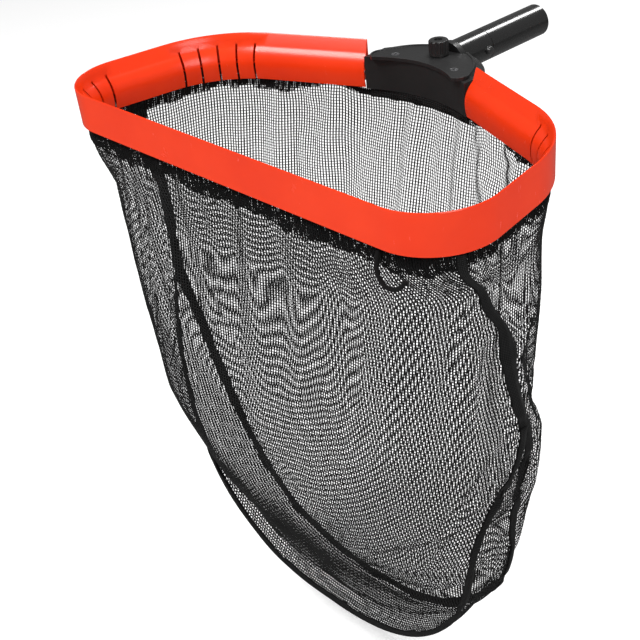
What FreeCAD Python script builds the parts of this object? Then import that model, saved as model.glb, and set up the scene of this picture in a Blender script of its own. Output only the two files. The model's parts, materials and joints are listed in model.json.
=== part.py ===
import FreeCAD, Part
import math
import os
from FreeCAD import Vector as V

# Leaf skimmer net for pools and spas.
# Millimetres. Row frame: origin at the centre of the handle's open end, +Y out of the handle,
# +Z up out of the net's mouth. The hoop lies towards -Y.
# Shapes are drawn in the hoop frame (tip edge at z = 0, front of the tip edge at y = 0) and
# moved into the row frame when they are written.

HOOP_TO_ROW = V(0.0, -377.0, 18.0)

# Outline of the guard's tip edge
FRONT_HALF = 235.0
BACK_HALF = 206.0
BACK_Y = 168.0
TAIL_HALF = 19.0
TAIL_Y = 241.0
FRONT_R = 52.0
BACK_R = 101.0
GUARD_CUT_HALF = 63.2
TUBE_CUT_HALF = 25.0
HEM_CUT_HALF = 62.8

# Hoop tube and hem, n measured inwards from the tip edge
TUBE_N = 6.3
TUBE_Z = -31.2
TUBE_R = 4.0
TUBE_WALL = 1.0
HEM_IN = 4.04
HEM_OUT = 4.6

# Guard section: an outer blade, a sloping inner face down to the ridge, and a rounded inner wall
BLADE_BOTTOM_Z = -33.5
BLADE_BOTTOM_N = 0.3
RIDGE_N = 4.2
RIDGE_Z = -10.8
WALL_MID_N = 12.4
WALL_MID_Z = -29.0
WALL_BOTTOM_N = 10.9
WALL_BOTTOM_Z = -40.5
WEB_TOP_Z = -24.9
WEB_BOTTOM_Z = -26.2
GUARD_WALL = 1.3
NOTCH_W = 2.0
NOTCH_PITCH = 18.5
NOTCHES_PER_BEND = 5

# Yoke
YOKE_TOP_Z = -12.0
YOKE_BOTTOM_Z = -41.5
YOKE_END_X = 58.0
COVER_T = 2.5
COVER_RIM = 0.8
SCREW_X = 34.0
SCREW_Y = 228.4
KNOB_Y = 247.0
KNOB_R = 8.6
KNOB_H = 12.6
STUD_R = 2.5
RUNNING_GAP = 0.05

# Handle
HANDLE_Z = -18.0
HANDLE_R = 14.3
HANDLE_BORE = 12.1
HANDLE_START = 265.2
HANDLE_END = 377.0
TANG_R = 12.05
TANG_END = 284.0
BUTTON_SET_BACK = 82.0
RIVET_Y = 275.0
CLIP_BEND_BACK = 46.0
BUTTON_R = 3.95
BUTTON_PROUD = 3.4
CLIP_T = 0.8
CLIP_W = 6.4

# Bag
BAG_TOP_Z = -36.1
BAG_DEPTH = 471.0
BAG_HALF = 208.0
BAG_ROUND = 2.5
SPLIT_DEPTH = 176.0
CORNER_DEPTH = 377.0
SEAM_Y = 56.0
SEAM_DRIFT = 29.0
PULL_START = 3.0
PULL_DEPTH = 64.0
YOKE_DIP = 7.0
YOKE_TUCK = 11.0
GUSSET_HALF = 27.0
CORD_R = 1.5
NET_T = 1.0
TAPE_W = 12.0
TAPE_T = 1.2
TAPE_GAP = 0.5


# Plan path helpers

def offset_line(a, b, n):
    """The line a-b moved inwards (to its left) by n."""
    d = (b - a).normalize()
    side = V(-d.y, d.x, 0) * n
    return a + side, b + side


def meet(a, b, c, d):
    """Where the plan lines a-b and c-d cross."""
    r = b - a
    s = d - c
    t = ((c - a).x * s.y - (c - a).y * s.x) / (r.x * s.y - r.y * s.x)
    return a + r * t


def tip_corners():
    return [
        V(-TAIL_HALF, TAIL_Y, 0),
        V(-BACK_HALF, BACK_Y, 0),
        V(-FRONT_HALF, 0, 0),
        V(FRONT_HALF, 0, 0),
        V(BACK_HALF, BACK_Y, 0),
        V(TAIL_HALF, TAIL_Y, 0),
    ]


def path_pieces(cut_half, n=0.0):
    """Straight and curved pieces of the outline at inward offset n, from one yoke end to the other."""
    pts = tip_corners()
    radii = [0, BACK_R, FRONT_R, FRONT_R, BACK_R, 0]
    lines = [offset_line(pts[i], pts[i + 1], n) for i in range(5)]
    corners = [meet(*lines[i], *lines[i + 1]) for i in range(4)]
    first = lines[0][0]
    start = corners[0] + (first - corners[0]) * ((corners[0].x + cut_half) / (corners[0].x - first.x))
    end = V(-start.x, start.y, 0)
    nodes = [start] + corners + [end]
    pieces = []
    here = start
    for i in range(1, 5):
        d_in = (nodes[i] - nodes[i - 1]).normalize()
        d_out = (nodes[i + 1] - nodes[i]).normalize()
        turn = d_in.getAngle(d_out)
        r = radii[i] - n
        reach = r * math.tan(turn / 2)
        t_in = nodes[i] - d_in * reach
        pieces.append(("line", here, t_in, d_in))
        centre = t_in + V(-d_in.y, d_in.x, 0) * r
        pieces.append(("arc", t_in, centre, d_in, turn, r))
        here = nodes[i] + d_out * reach
    pieces.append(("line", here, end, (end - here).normalize()))
    return pieces


def path_length(piece):
    if piece[0] == "line":
        return (piece[2] - piece[1]).Length
    return piece[4] * piece[5]


def path_point(pieces, s):
    """Point and direction at distance s along the path."""
    for piece in pieces:
        length = path_length(piece)
        if s <= length or piece is pieces[-1]:
            break
        s -= length
    if piece[0] == "line":
        return piece[1] + piece[3] * s, piece[3]
    start, centre, d, turn, r = piece[1:]
    angle = s / r
    arm = start - centre
    c, k = math.cos(angle), math.sin(angle)
    p = centre + V(arm.x * c - arm.y * k, arm.x * k + arm.y * c, 0)
    return p, V(d.x * c - d.y * k, d.x * k + d.y * c, 0)


def sweep(section, cut_half):
    """Sweep a section face, made by section(point, direction), along the tip path."""
    solids = []
    for piece in path_pieces(cut_half):
        face = section(piece[1], piece[3])
        if piece[0] == "line":
            solids.append(face.extrude(piece[2] - piece[1]))
        else:
            solids.append(face.revolve(piece[2], V(0, 0, 1), math.degrees(piece[4])))
    return solids[0].fuse(solids[1:]).removeSplitter()


def section_point(p, d, n, z):
    return p + V(-d.y, d.x, 0) * n + V(0, 0, z)


def section_face(p, d, rings):
    """A face at p across direction d; the first ring of (n, z) points is the outline, others are holes."""
    wires = []
    for ring in rings:
        pts = [section_point(p, d, n, z) for n, z in ring]
        wires.append(Part.makePolygon(pts + [pts[0]]))
    face = Part.Face(wires[0])
    for hole in wires[1:]:
        face = face.cut(Part.Face(hole))
    return face.Faces[0]


def ring_face(p, d, r_out, r_in):
    centre = section_point(p, d, TUBE_N, TUBE_Z)
    outer = Part.Face(Part.Wire(Part.makeCircle(r_out, centre, d)))
    if r_in <= 0:
        return outer
    inner = Part.Face(Part.Wire(Part.makeCircle(r_in, centre, d)))
    return outer.cut(inner).Faces[0]


def cylinder(r, h, base, axis=V(0, 0, 1)):
    return Part.makeCylinder(r, h, base, axis)


def box(x0, x1, y0, y1, z0, z1):
    return Part.makeBox(x1 - x0, y1 - y0, z1 - z0, V(x0, y0, z0))


# Hoop and guard

def hoop_tube():
    tube = sweep(lambda p, d: ring_face(p, d, TUBE_R, TUBE_R - TUBE_WALL), TUBE_CUT_HALF)
    for side in (-1, 1):
        tube = tube.cut(cylinder(1.8, 20, V(side * SCREW_X, SCREW_Y, TUBE_Z - 10)))
    return tube


def guard_rings():
    face = [(-0.5, -1.0), (0.15, 0.0), (0.9, -0.7)] + wall_curve(0.0, RIDGE_Z, WALL_BOTTOM_Z, 15)
    back = wall_curve(GUARD_WALL, WEB_BOTTOM_Z, WALL_BOTTOM_Z, 6)
    blade_in = BLADE_BOTTOM_N + GUARD_WALL
    outline = face + back[::-1]
    outline += [(blade_in - 0.1, WEB_BOTTOM_Z), (blade_in, BLADE_BOTTOM_Z), (BLADE_BOTTOM_N, BLADE_BOTTOM_Z)]
    chamber = [(1.2, -7.5), (4.1, -13.2)] + wall_curve(GUARD_WALL, -14.5, WEB_TOP_Z, 5)
    chamber += [(blade_in - 0.15, WEB_TOP_Z)]
    return [outline, chamber]


def wall_n(z):
    """Front of the rounded inner wall at height z."""
    if z > WALL_MID_Z:
        up = (z - WALL_MID_Z) / (RIDGE_Z - WALL_MID_Z)
        return WALL_MID_N - (WALL_MID_N - RIDGE_N) * up ** 2.2
    down = (z - WALL_MID_Z) / (WALL_BOTTOM_Z - WALL_MID_Z)
    return WALL_MID_N - (WALL_MID_N - WALL_BOTTOM_N) * down ** 1.9


def wall_curve(depth, z0, z1, count):
    """Points down the inner wall, set back by depth into the plastic."""
    heights = [z0 + (z1 - z0) * i / (count - 1) for i in range(count)]
    return [(wall_n(z) - depth, z) for z in heights]


def notch_cutters():
    pieces = path_pieces(GUARD_CUT_HALF)
    cutters = []
    done = 0.0
    for piece in pieces:
        length = path_length(piece)
        if piece[0] == "arc":
            for k in range(NOTCHES_PER_BEND):
                s = done + length / 2 + (k - (NOTCHES_PER_BEND - 1) / 2) * NOTCH_PITCH
                p, d = path_point(pieces, s)
                cutters.append(notch_box(p, d))
        done += length
    return cutters


def notch_box(p, d):
    """A thin radial slot through the ridge and the inner wall, clear of the outer blade."""
    half = d * (NOTCH_W / 2)
    low = WALL_BOTTOM_Z - 1
    ring = [(2.8, -9.4), (14.0, -9.4), (14.0, low), (9.0, low), (9.0, -27.5), (2.8, -20.0)]
    return section_face(p - half, d, [ring]).extrude(half * 2)


def edge_guard():
    guard = sweep(lambda p, d: section_face(p, d, guard_rings()), GUARD_CUT_HALF)
    return guard.cut(notch_cutters())


# Yoke

def plan_solid(points, z0, z1):
    """Prism on a plan outline; points is a list of edges, each a 2 or 3 point line or arc."""
    edges = []
    for pts in points:
        vs = [V(x, y, z0) for x, y in pts]
        if len(vs) == 2:
            edges.append(Part.makeLine(vs[0], vs[1]))
        else:
            edges.append(Part.Arc(*vs).toShape())
    return Part.Face(Part.Wire(edges)).extrude(V(0, 0, z1 - z0))


def yoke_plan(inset):
    x = YOKE_END_X - inset
    fy, fm = 213.5 + inset, 226.0 + inset
    ry, rm = 239.0 - inset * 0.6, 268.0 - inset
    return [
        [(-x, fy), (0, fm), (x, fy)],
        [(x, fy), (x, ry)],
        [(x, ry), (0, rm), (-x, ry)],
        [(-x, ry), (-x, fy)],
    ]


def yoke_body():
    body = plan_solid(yoke_plan(0), YOKE_BOTTOM_Z, YOKE_TOP_Z)
    collar = cylinder(15.8, 6.0, V(0, HANDLE_START - 6.2, HANDLE_Z), V(0, 1, 0))
    tang = cylinder(TANG_R, TANG_END - 260, V(0, 260, HANDLE_Z), V(0, 1, 0))
    body = body.cut(box(-20, 20, HANDLE_START - 0.2, 280, -60, 10))
    body = body.fuse([collar, tang]).removeSplitter()
    bore = cylinder(8.0, 20, V(0, TANG_END - 17, HANDLE_Z), V(0, 1, 0))
    body = body.cut(bore)
    sockets = sweep(lambda p, d: ring_face(p, d, TUBE_R + 0.02, 0), TUBE_CUT_HALF - 0.6)
    body = body.cut(sockets)
    for side in (-1, 1):
        body = body.cut(cylinder(1.8, 42, V(side * SCREW_X, SCREW_Y, YOKE_BOTTOM_Z + 3)))
    body = body.cut(cylinder(3.6, 14.0, V(0, KNOB_Y, YOKE_TOP_Z - 14)))
    body = body.cut(cylinder(STUD_R + 0.6, 12.0, V(0, KNOB_Y, YOKE_TOP_Z - 25)))
    return body.cut(cylinder(1.95, 14, V(0, RIVET_Y, HANDLE_Z - 16)))


def cover_plan(inset):
    """Crescent with rounded wing tips."""
    i = inset
    tip = (46.0, 211.0 + i)
    shoulder = (53.5 - i, 225.0)
    rear = (47.0 - i, 238.0 - i)
    return [
        [(-tip[0], tip[1]), (0, 224.5 + i), tip],
        [tip, (52.0 - i, 215.5 + i * 0.5), shoulder],
        [shoulder, rear],
        [rear, (0, 266.0 - i), (-rear[0], rear[1])],
        [(-rear[0], rear[1]), (-shoulder[0], shoulder[1])],
        [(-shoulder[0], shoulder[1]), (-52.0 + i, 215.5 + i * 0.5), (-tip[0], tip[1])],
    ]


def yoke_cover():
    top = YOKE_TOP_Z + COVER_T
    cover = plan_solid(cover_plan(0.0), YOKE_TOP_Z, top)
    rim = plan_solid(cover_plan(0.0), top, top + COVER_RIM)
    rim = rim.cut(plan_solid(cover_plan(1.6), top - 1, top + 5))
    cover = cover.fuse(rim).removeSplitter()
    cover = cover.cut(cylinder(16.1, 20, V(0, HANDLE_START - 6.5, HANDLE_Z), V(0, 1, 0)))
    cover = cover.cut(box(-17, 17, HANDLE_START - 6.5, 290, -20, 10))
    cover = cover.cut(cylinder(STUD_R + 0.6, 10, V(0, KNOB_Y, YOKE_TOP_Z - 2)))
    for side in (-1, 1):
        at = V(side * SCREW_X, SCREW_Y, YOKE_TOP_Z - 2)
        cover = cover.cut(cylinder(1.85, 10, at))
        cover = cover.cut(Part.makeCone(1.85, 3.9, 2.0, V(at.x, at.y, YOKE_TOP_Z + 0.5)))
    return cover


def cover_screw(side):
    top = YOKE_TOP_Z + COVER_T
    at = V(side * SCREW_X, SCREW_Y, 0)
    shank = cylinder(1.75, 27.0, at + V(0, 0, top - 28.0))
    head = Part.makeCone(1.75, 3.7, 1.9, at + V(0, 0, top - 1.9))
    screw = shank.fuse(head).removeSplitter()
    for turn in (0, 90):
        slot = Part.makeBox(4.4, 0.9, 1.4, at + V(-2.2, -0.45, top - 1.2))
        slot.rotate(at, V(0, 0, 1), turn + 20)
        screw = screw.cut(slot)
    return screw


def cover_screws():
    return Part.makeCompound([cover_screw(-1), cover_screw(1)])


# Clamp knob

def knob_base_z():
    return YOKE_TOP_Z + COVER_T + 1.1


def clamp_knob():
    z = knob_base_z()
    knob = cylinder(KNOB_R, KNOB_H, V(0, KNOB_Y, z))
    knob = knob.makeFillet(1.4, [knob.Edges[0]])
    for k in range(12):
        a = math.radians(30 * k)
        groove = V(math.cos(a), math.sin(a), 0) * (KNOB_R + 0.9)
        knob = knob.cut(cylinder(1.7, KNOB_H + 2, V(0, KNOB_Y, z + 1.6) + groove))
    knob = knob.cut(cylinder(3.6, 1.6, V(0, KNOB_Y, z + KNOB_H - 1.6)))
    return knob.cut(cylinder(STUD_R, 8.0, V(0, KNOB_Y, z)))


def knob_stud():
    z = knob_base_z()
    return cylinder(STUD_R, 8.0 + 20.0, V(0, KNOB_Y, z - 20.0))


def knob_washer():
    z = YOKE_TOP_Z + COVER_T
    return cylinder(7.2, 1.0, V(0, KNOB_Y, z)).cut(cylinder(STUD_R + RUNNING_GAP, 3, V(0, KNOB_Y, z - 1)))


def threaded_insert():
    z = YOKE_TOP_Z - 14
    insert = cylinder(3.6, 12.0, V(0, KNOB_Y, z))
    return insert.cut(cylinder(STUD_R + RUNNING_GAP, 16, V(0, KNOB_Y, z - 1)))


# Handle, spring clip and buttons

def handle_tube():
    length = HANDLE_END - HANDLE_START
    tube = cylinder(HANDLE_R, length, V(0, HANDLE_START, HANDLE_Z), V(0, 1, 0))
    tube = tube.cut(cylinder(HANDLE_BORE, length + 2, V(0, HANDLE_START - 1, HANDLE_Z), V(0, 1, 0)))
    groove_y = HANDLE_END - BUTTON_SET_BACK + 5.4
    ring = cylinder(HANDLE_R + 2, 1.0, V(0, groove_y, HANDLE_Z), V(0, 1, 0))
    ring = ring.cut(cylinder(HANDLE_R - 0.3, 3, V(0, groove_y - 1, HANDLE_Z), V(0, 1, 0)))
    tube = tube.cut(ring)
    hole_y = HANDLE_END - BUTTON_SET_BACK
    tube = tube.cut(cylinder(BUTTON_R + RUNNING_GAP, 40, V(-20, hole_y, HANDLE_Z), V(1, 0, 0)))
    return tube.cut(cylinder(1.95, 14, V(0, RIVET_Y, HANDLE_Z - 20)))


def handle_rivet():
    shank = cylinder(1.95, 9.0, V(0, RIVET_Y, HANDLE_Z - HANDLE_R - 0.2))
    under = HANDLE_Z - HANDLE_R
    head = Part.makeSphere(6.0, V(0, RIVET_Y, under + 4.0))
    head = head.common(box(-4, 4, RIVET_Y - 4, RIVET_Y + 4, under - 4, under - 0.2))
    return shank.fuse(head).removeSplitter()


def clip_leg_x():
    return HANDLE_BORE - 0.5


def button_clip():
    """U of spring strip: two legs along the bore's sides, joined by a bend near the open end."""
    x_out = clip_leg_x()
    y_leg = HANDLE_END - BUTTON_SET_BACK - 7.0
    y_bend = HANDLE_END - CLIP_BEND_BACK
    outer = [
        [(-x_out, y_leg), (-x_out, y_bend)],
        [(-x_out, y_bend), (0, y_bend + x_out), (x_out, y_bend)],
        [(x_out, y_bend), (x_out, y_leg)],
    ]
    x_in = x_out - CLIP_T
    inner = [
        [(x_out, y_leg), (x_in, y_leg)],
        [(x_in, y_leg), (x_in, y_bend)],
        [(x_in, y_bend), (0, y_bend + x_in), (-x_in, y_bend)],
        [(-x_in, y_bend), (-x_in, y_leg)],
        [(-x_in, y_leg), (-x_out, y_leg)],
    ]
    low = HANDLE_Z - CLIP_W / 2
    strip = plan_solid(outer + inner, low, low + CLIP_W)
    bore = cylinder(HANDLE_BORE - 0.2, 80, V(0, y_leg - 5, HANDLE_Z), V(0, 1, 0))
    return strip.common(bore)


def spring_button(side):
    """Domed pin on the spring's leg, standing out through the handle wall."""
    y = HANDLE_END - BUTTON_SET_BACK
    x0 = clip_leg_x() + 0.04
    x1 = HANDLE_R + BUTTON_PROUD
    pin = cylinder(BUTTON_R, x1 - x0, V(side * x0, y, HANDLE_Z), V(side, 0, 0))
    end = [e for e in pin.Edges if abs(abs(e.CenterOfMass.x) - x1) < 0.1]
    return pin.makeFillet(2.2, end[:1])


# Bag

def edge_half(depth):
    """Half-width of the bag's side edge at a depth below the hem."""
    if depth <= SPLIT_DEPTH:
        return BAG_HALF
    s = min(1.0, (depth - SPLIT_DEPTH) / (BAG_DEPTH - SPLIT_DEPTH))
    return BAG_HALF * (1 - s ** BAG_ROUND) ** (1 / BAG_ROUND)


def gusset_spread(depth):
    if depth <= SPLIT_DEPTH:
        return 0.0
    s = min(1.0, (depth - SPLIT_DEPTH) / (BAG_DEPTH - SPLIT_DEPTH))
    return GUSSET_HALF * (1 - (1 - s) ** 2.5)


def seam_y(depth):
    """Mean y of the side seam: it moves back a little as the cloth hangs."""
    return SEAM_Y + SEAM_DRIFT * min(1.0, depth / 90.0) + 4.0 * max(0.0, depth / BAG_DEPTH - 0.4)


def edge_point(depth, side, face):
    """Point on the side seam (face 0), or on the front (-1) or back (+1) gusset seam."""
    return V(side * edge_half(depth), seam_y(depth) + face * gusset_spread(depth), BAG_TOP_Z - depth)


def hem_plan(u, face):
    """Point under the hem for u from -1 to 1 along the front (-1) or back (+1) half of the hoop."""
    pieces = path_pieces(HEM_CUT_HALF, TUBE_N)
    total = sum(path_length(p) for p in pieces)
    lo, hi = 0.0, total / 2
    for _ in range(40):
        mid = (lo + hi) / 2
        if path_point(pieces, mid)[0].y > SEAM_Y:
            lo = mid
        else:
            hi = mid
    if face < 0:
        p = path_point(pieces, lo + (total - 2 * lo) * (u + 1) / 2)[0]
        return V(p.x, p.y, BAG_TOP_Z)
    reach = lo + HEM_CUT_HALF
    s = (1 - abs(u)) * reach
    if s <= lo:
        p = path_point(pieces, lo - s)[0]
        return V(-p.x if u > 0 else p.x, p.y, BAG_TOP_Z)
    x = reach - s
    y = path_point(pieces, 0)[0].y + YOKE_TUCK * (1 - (x / HEM_CUT_HALF) ** 2)
    return V(x * (1 if u > 0 else -1), y, BAG_TOP_Z)


def yoke_dip(p, face):
    """How far the rear panel's top edge dips to pass under the yoke."""
    if face < 0 or p.y < 200:
        return 0.0
    t = max(0.0, min(1.0, (84.0 - abs(p.x)) / 18.0))
    return YOKE_DIP * t * t * (3 - 2 * t)


def panel_mid_y(depth, face):
    """y of the panel's middle: hanging cloth that drifts to the gusset seam at the bottom."""
    s = depth / BAG_DEPTH
    end = seam_y(BAG_DEPTH) + face * GUSSET_HALF
    if face < 0:
        return -4.0 + (end + 4.0) * s ** 1.9 - 10.5 * math.sin(math.pi * s * 0.92)
    return 232.0 + (end - 232.0) * s ** 0.96 + 11.5 * math.sin(math.pi * s)


def panel_point(u, v, face):
    edge_depth = CORNER_DEPTH * v
    mid_depth = BAG_DEPTH * v
    edge = edge_point(edge_depth, 1, face)
    x = edge.x * math.sin(u * math.pi / 2)
    if v > 0.72:
        blend = (v - 0.72) / 0.28
        x = x * (1 - blend) + edge.x * u * blend
    share = abs(x / edge.x)
    depth = edge_depth + (mid_depth - edge_depth) * (1 - share ** 2.0)
    if v > 0.995:
        depth = bottom_depth(abs(x))
    power = 2.6 if face < 0 else 2.3 + 0.5 * v
    y = edge.y + (panel_mid_y(mid_depth, face) - edge.y) * (1 - share ** power) ** (1 / power)
    if v > 0.6:
        flat = seam_y(depth) + face * gusset_spread(depth)
        w = (v - 0.6) / 0.4
        y = y * (1 - w * w) + flat * w * w
    hanging = V(x, y, BAG_TOP_Z - depth)
    pull = max(0.0, min(1.0, (mid_depth - PULL_START) / PULL_DEPTH))
    pull = pull * pull * (3 - 2 * pull)
    top = hem_plan(u, face)
    top = top - V(0, 0, mid_depth + yoke_dip(top, face))
    return top * (1 - pull) + hanging * pull


def bottom_depth(x):
    """Depth of the gusset seam below the hem at half-width x, along the rounded bottom."""
    s = (1 - (x / BAG_HALF) ** BAG_ROUND) ** (1 / BAG_ROUND)
    return SPLIT_DEPTH + (BAG_DEPTH - SPLIT_DEPTH) * s


def sheet(grid, thickness):
    """Closed thin solid on a grid of points, thickened outwards by its normals."""
    near = Part.BSplineSurface()
    near.interpolate(grid)
    rows, cols = len(grid), len(grid[0])
    far_grid = []
    for i in range(rows):
        line = []
        for j in range(cols):
            du = grid[min(i + 1, rows - 1)][j] - grid[max(i - 1, 0)][j]
            dv = grid[i][min(j + 1, cols - 1)] - grid[i][max(j - 1, 0)]
            line.append(grid[i][j] + du.cross(dv).normalize() * thickness)
        far_grid.append(line)
    far = Part.BSplineSurface()
    far.interpolate(far_grid)
    faces = [near.toShape(), far.toShape()]
    for a, b in border_pairs(near, far):
        faces.append(Part.makeRuledSurface(a, b))
    solid = Part.makeSolid(Part.makeShell(faces))
    if solid.Volume < 0:
        solid.reverse()
    return solid


def border_pairs(near, far):
    u0, u1, v0, v1 = near.bounds()
    pairs = []
    for u in (u0, u1):
        pairs.append((near.uIso(u).toShape(), far.uIso(u).toShape()))
    for v in (v0, v1):
        pairs.append((near.vIso(v).toShape(), far.vIso(v).toShape()))
    return pairs


def net_panel(face):
    count = 25
    grid = []
    for i in range(count):
        v = 0.004 + 0.992 * (i / (count - 1)) ** 1.25
        row = []
        for j in range(count + 8):
            u = 0.9995 * math.sin((2.0 * j / (count + 7) - 1.0) * math.pi / 2)
            row.append(panel_point(u, v, face))
        grid.append(row)
    return sheet(grid, NET_T)


def gusset_point(angle, across, lift):
    """Point on the bottom gusset: angle runs round the U, across goes from front seam to rear seam."""
    c, k = math.cos(angle), math.sin(angle)
    power = 2 / BAG_ROUND
    s = k ** power
    depth = SPLIT_DEPTH + (BAG_DEPTH - SPLIT_DEPTH) * s
    x = -BAG_HALF * math.copysign(abs(c) ** power, c)
    out = V(math.copysign(abs(x / BAG_HALF) ** 1.3, x), 0, -(s ** 1.3) * BAG_HALF / (BAG_DEPTH - SPLIT_DEPTH))
    base = V(x, seam_y(depth), BAG_TOP_Z - depth) + out.normalize() * lift
    return base + V(0, across, 0), gusset_spread(depth)


def gusset_strip(edges, lift, thickness, start):
    """Thin strip round the U between the two y offsets that edges(spread) gives."""
    grid = []
    for i in range(61):
        angle = start + (math.pi - 2 * start) * i / 60
        spread = gusset_point(angle, 0, 0)[1]
        a, b = edges(spread)
        row = []
        for j in range(4):
            across = a + (b - a) * j / 3
            row.append(gusset_point(angle, across, lift)[0])
        grid.append(row)
    return sheet(grid, -thickness)


def bottom_gusset():
    return gusset_strip(lambda w: (0.9 - w, w - 1.9), 0.2, NET_T, 0.075)


def front_gusset_tape():
    reach = lambda w: (-w - 1.2, -w - 1.2 + min(TAPE_W, w + 0.2))
    return gusset_strip(reach, 0.2 + NET_T + TAPE_GAP, TAPE_T, 0.085)


def rear_gusset_tape():
    reach = lambda w: (w + 0.6 - min(TAPE_W, w - 0.4), w + 0.6)
    return gusset_strip(reach, 0.2 + NET_T + TAPE_GAP, TAPE_T, 0.085)


def side_tape(side):
    """Flat binding over a side seam, from the hem to where the gusset starts."""
    grid = []
    for i in range(15):
        v = (SPLIT_DEPTH + 10) / CORNER_DEPTH * i / 14 + 0.006
        p = panel_point(side * 1.0, v, -1)
        slope = (FRONT_HALF - BACK_HALF) / BACK_Y * max(0.0, 1.0 - BAG_DEPTH * v / PULL_DEPTH)
        row = []
        for j in range(4):
            dy = TAPE_W * j / 3 - TAPE_W / 2
            row.append(V(p.x + side * (NET_T + TAPE_GAP + 2.2 - slope * dy), p.y + dy, p.z))
        grid.append(row)
    return sheet(grid, TAPE_T * side * -1)


def hem_ring():
    return sweep(lambda p, d: ring_face(p, d, HEM_OUT, HEM_IN), HEM_CUT_HALF)


def front_hem():
    return hem_ring().common(box(-300, 300, -60, SEAM_Y - 0.3, -80, 0))


def rear_hem(side):
    far = sorted((0, side * 300))
    return hem_ring().common(box(far[0], far[1], SEAM_Y + 0.3, 300, -80, 0))


def mouth_binding():
    """Bound top edge of the rear panel, curving back under the yoke's front wall."""
    y = path_point(path_pieces(HEM_CUT_HALF, TUBE_N), 0)[0].y - 3.4
    z = YOKE_BOTTOM_Z - 0.6
    x = 56.0
    dx = 0.3
    lift = YOKE_TUCK * (1 - (x / HEM_CUT_HALF) ** 2)
    outline = [
        [(-x, y + lift - 0.6), (0, y + YOKE_TUCK - 0.6), (x, y + lift - 0.6)],
        [(x, y + lift - 0.6), (x + dx, y + lift + 0.6)],
        [(x + dx, y + lift + 0.6), (0, y + YOKE_TUCK + 0.6), (-x - dx, y + lift + 0.6)],
        [(-x - dx, y + lift + 0.6), (-x, y + lift - 0.6)],
    ]
    return plan_solid(outline, z - 8.0, z)


def hem_cord():
    """Slack of the hem's drawcord: an open loop hanging below the front hem near its right corner."""
    pts = [V(166, 3.0, -37.0), V(167.5, -1.8, -44.5), V(172, -5.5, -51.5), V(180, -8, -55.5)]
    pts += [V(190, -9, -54.5), V(197.5, -9, -50), V(202, -8.5, -44)]
    curve = Part.BSplineCurve()
    curve.interpolate(pts)
    wire = Part.Wire(curve.toShape())
    start = Part.Wire(Part.makeCircle(CORD_R, pts[0], curve.tangent(curve.FirstParameter)[0]))
    return wire.makePipeShell([start], True, False)


def write(name, shape):
    shape.translate(HOOP_TO_ROW)
    shape.exportStep("parts/" + name + ".step")
    box_ = shape.BoundBox
    print(name, shape.isValid(), len(shape.Solids), round(shape.Volume), [round(q, 1) for q in
          (box_.XMin, box_.XMax, box_.YMin, box_.YMax, box_.ZMin, box_.ZMax)])


os.makedirs("parts", exist_ok=True)
for name, maker in {
    "hoop_tube": hoop_tube,
    "edge_guard": edge_guard,
    "yoke_body": yoke_body,
    "yoke_cover": yoke_cover,
    "cover_screws": cover_screws,
    "clamp_knob": clamp_knob,
    "knob_stud": knob_stud,
    "knob_washer": knob_washer,
    "threaded_insert": threaded_insert,
    "handle_tube": handle_tube,
    "handle_rivet": handle_rivet,
    "button_clip": button_clip,
    "left_button": lambda: spring_button(-1),
    "right_button": lambda: spring_button(1),
    "front_hem": front_hem,
    "left_rear_hem": lambda: rear_hem(-1),
    "right_rear_hem": lambda: rear_hem(1),
    "front_net_panel": lambda: net_panel(-1),
    "rear_net_panel": lambda: net_panel(1),
    "bottom_gusset": bottom_gusset,
    "left_seam_tape": lambda: side_tape(-1),
    "right_seam_tape": lambda: side_tape(1),
    "front_gusset_tape": front_gusset_tape,
    "rear_gusset_tape": rear_gusset_tape,
    "mouth_binding": mouth_binding,
    "hem_cord": hem_cord,
}.items():
    write(name, maker())
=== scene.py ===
import json
import math

import bmesh
import bpy
import numpy as np
from mathutils import Euler, Matrix, Vector


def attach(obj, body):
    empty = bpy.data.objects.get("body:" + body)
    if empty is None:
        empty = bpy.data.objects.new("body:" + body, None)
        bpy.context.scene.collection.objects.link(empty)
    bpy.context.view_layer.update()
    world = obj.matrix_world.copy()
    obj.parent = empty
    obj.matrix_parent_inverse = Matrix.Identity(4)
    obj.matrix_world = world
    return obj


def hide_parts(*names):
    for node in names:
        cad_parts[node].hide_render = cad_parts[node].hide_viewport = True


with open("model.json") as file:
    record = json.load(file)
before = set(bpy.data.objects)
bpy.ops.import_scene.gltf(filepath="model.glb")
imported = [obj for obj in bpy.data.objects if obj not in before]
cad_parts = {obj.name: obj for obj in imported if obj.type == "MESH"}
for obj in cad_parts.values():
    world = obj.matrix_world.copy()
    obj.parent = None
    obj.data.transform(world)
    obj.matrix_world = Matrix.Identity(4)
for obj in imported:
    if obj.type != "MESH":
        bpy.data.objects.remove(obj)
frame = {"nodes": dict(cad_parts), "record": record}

rng = np.random.default_rng(7)
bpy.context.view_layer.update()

# Lengths below are millimetres in the hoop frame (tip edge at z = 0, front of the tip at y = 0);
# row() turns them into metres in the row frame.
SHIFT = np.array([0.0, -377.0, 18.0])
HANG = np.array([0.0, -0.167, -0.986])              # straight down, seen from the tilted hoop

# Hoop outline in plan, and the tube inside its edging
FRONT_HALF, BACK_HALF, BACK_Y, TAIL_HALF, TAIL_Y = 235.0, 206.0, 168.0, 19.0, 241.0
FRONT_R, BACK_R = 52.0, 101.0
HEM_CUT = 62.8                                      # the yoke hides the tube this far each side of the middle
TUBE_N, TUBE_Z = 6.3, -31.2                         # tube centre: inwards from the outline, and its height

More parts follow.
